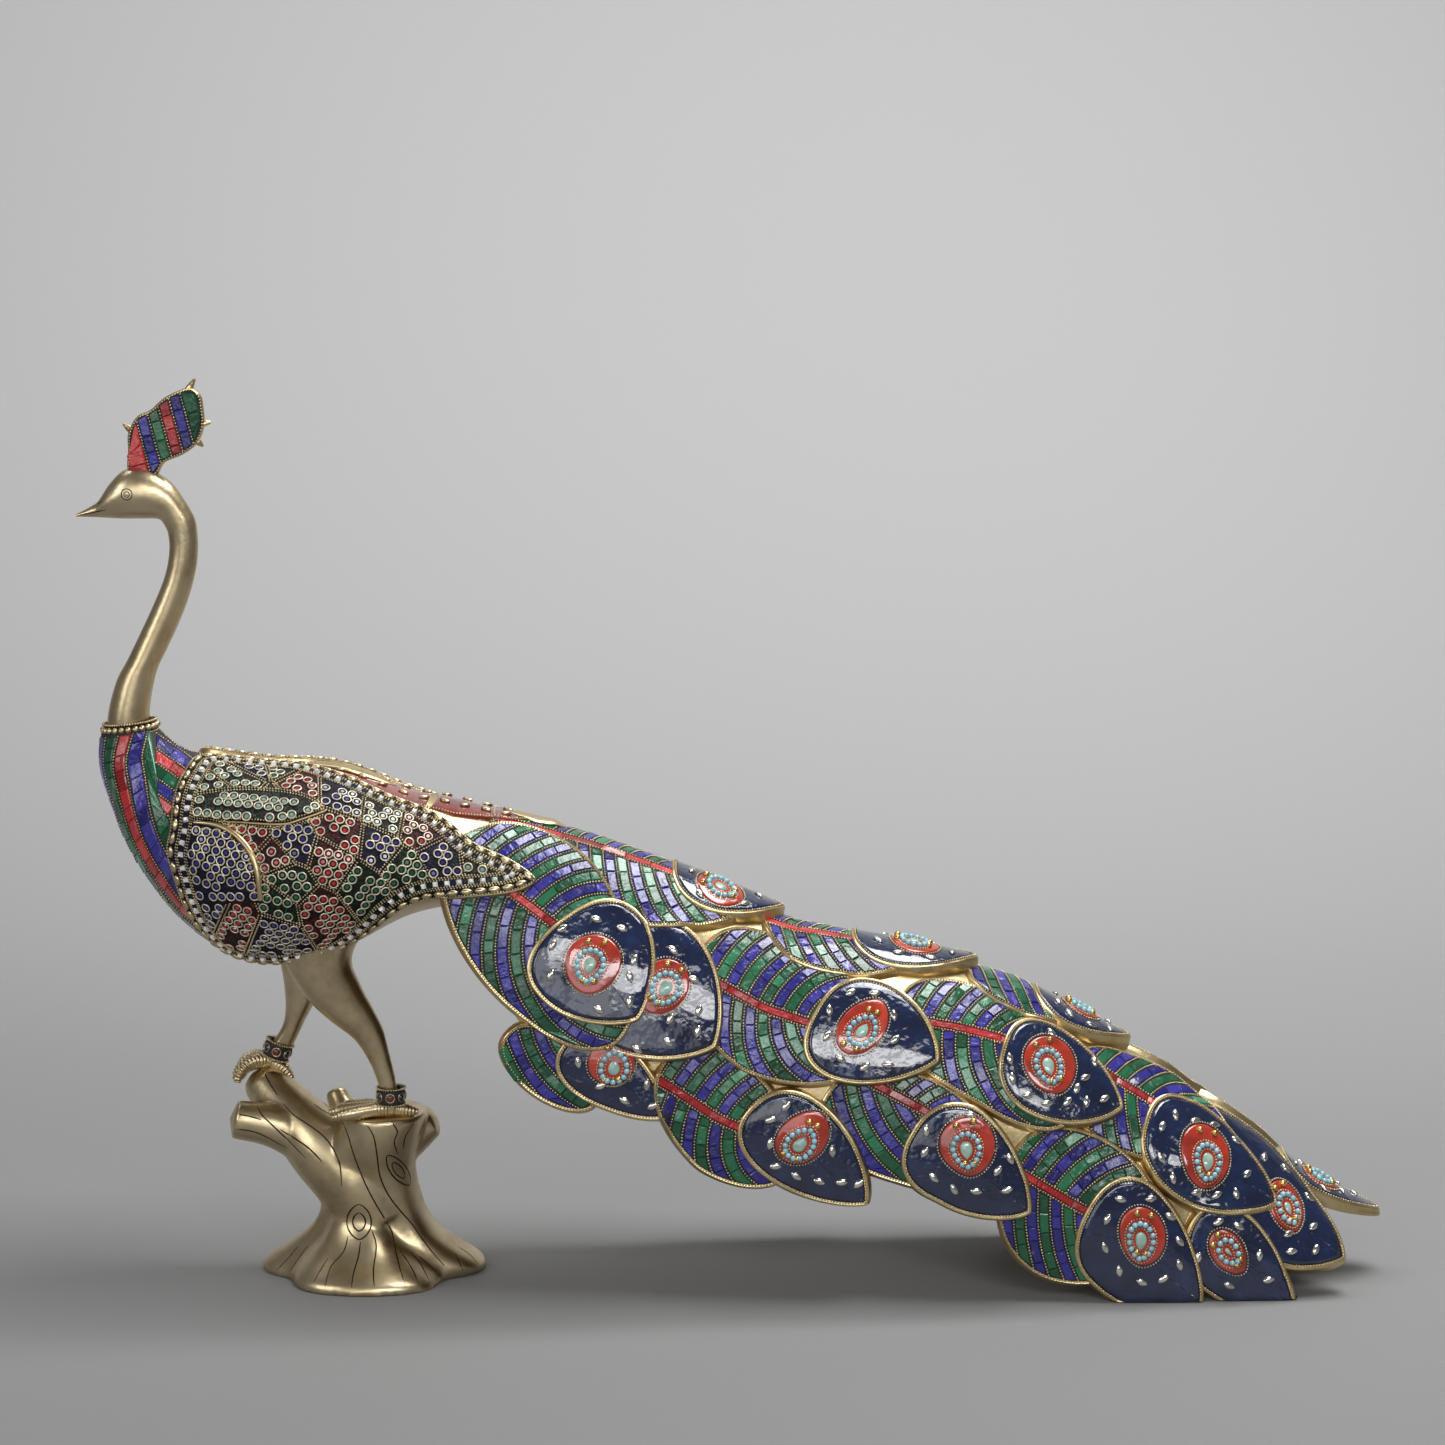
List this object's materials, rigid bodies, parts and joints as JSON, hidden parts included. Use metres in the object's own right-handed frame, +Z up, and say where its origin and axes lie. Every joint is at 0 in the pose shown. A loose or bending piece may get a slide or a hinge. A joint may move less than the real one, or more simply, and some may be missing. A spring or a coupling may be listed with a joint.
{
  "type": "peacock figurine",
  "caption": "Brass peacock figurine with inlaid breast, wings and crest and a long trailing train of overlapping feathers, standing on a tree-stump base; a decorative statue for floor or table.",
  "frame": {"origin": "centre of the bounding box's underside, on the surface that the figure stands on", "axes": "+X runs from the beak to the tip of the train, +Z is up, and +Y points away from the side that the picture shows"},
  "size_m": [1.1529, 0.232, 0.7971],
  "materials": {
    "cast_brass": "satin cast brass, warm pale gold, darker in the hollows",
    "inlaid_train": "brass feathers inlaid with glossy blue and green stone strips and dark blue enamel",
    "inlaid_crest": "brass inlaid with red, blue and green stone stripes",
    "beaded_brass": "brass bead work on a dark ground"
  },
  "bodies": {
    "root": {"tree_stump": "cast_brass", "peacock": "cast_brass", "train": "inlaid_train", "crest": "inlaid_crest", "neck_collar": "beaded_brass", "anklet_near": "beaded_brass", "anklet_far": "beaded_brass"}
  },
  "joints": []
}
